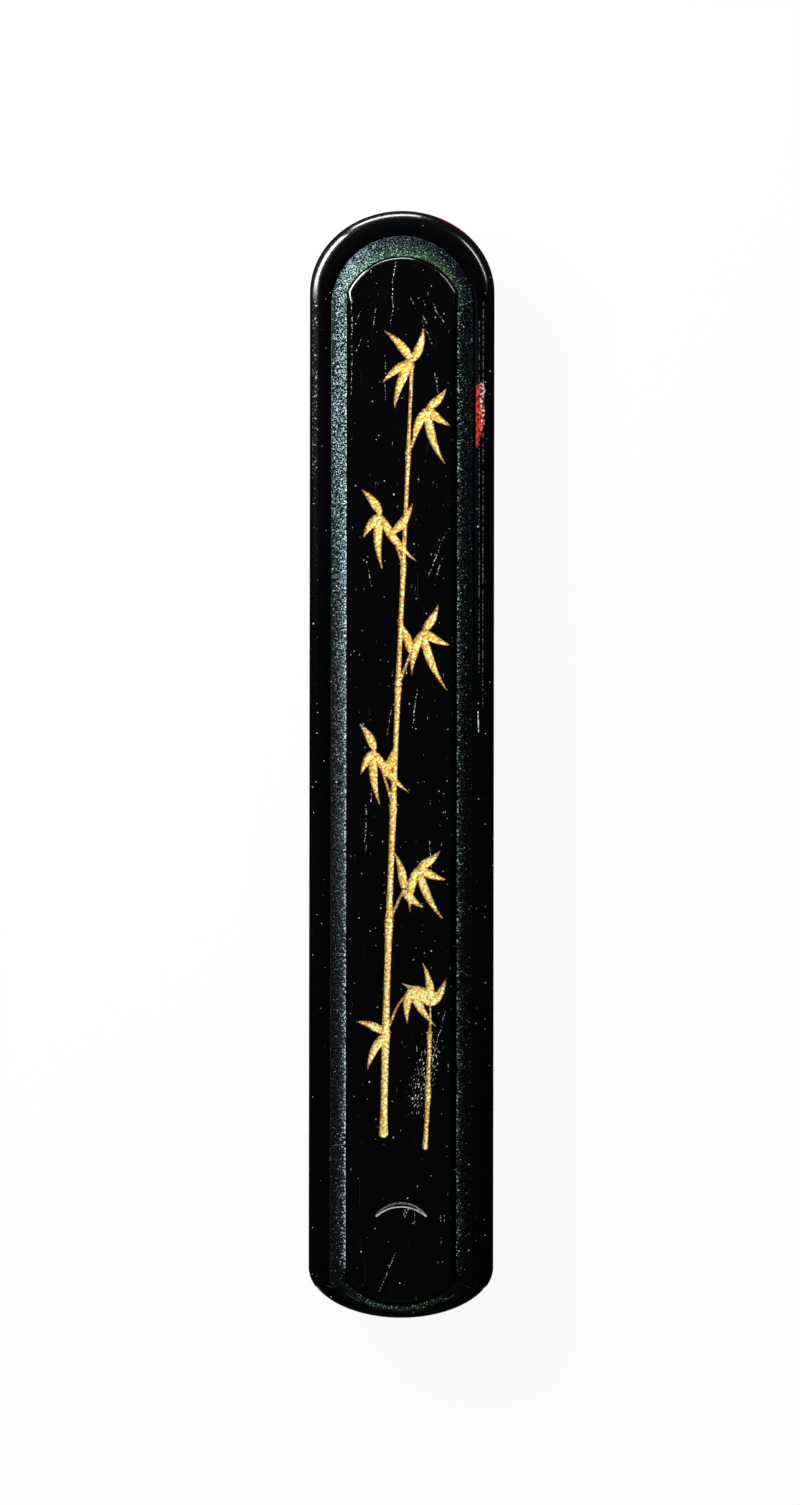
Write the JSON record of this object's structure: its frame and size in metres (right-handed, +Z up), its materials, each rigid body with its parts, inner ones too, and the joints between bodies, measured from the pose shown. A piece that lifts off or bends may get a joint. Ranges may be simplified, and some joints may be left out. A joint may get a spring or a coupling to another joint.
{
  "type": "pen box",
  "caption": "Long narrow lacquered wooden box with an arched head, a pen well, and a raised-field lid that slides in grooves and pulls out over the low tail.",
  "frame": {"origin": "under the middle of the box, on the underside of the floor board", "axes": "+Y to the arched head, +Z up out of the lid, +X to the right wall"},
  "size_m": [0.04, 0.24, 0.0247],
  "materials": {
    "black_lacquer": "polished black lacquer over a red ground coat on wood",
    "lid_lacquer": "polished black lacquer with a matte bevel and gold-filled engraving",
    "bamboo": "bare bamboo"
  },
  "bodies": {
    "box": {"floor_board": "black_lacquer", "left_wall": "black_lacquer", "right_wall": "black_lacquer", "head_block": "black_lacquer", "tail_block": "black_lacquer", "head_dowels": "bamboo", "tail_dowels": "bamboo", "floor_dowels": "bamboo"},
    "lid": {"lid": "lid_lacquer"}
  },
  "joints": [
    {"name": "lid_slide", "type": "slide", "parent": "box", "child": "lid", "axis": [0, -1, 0], "range_m": [0, 0.232]}
  ]
}
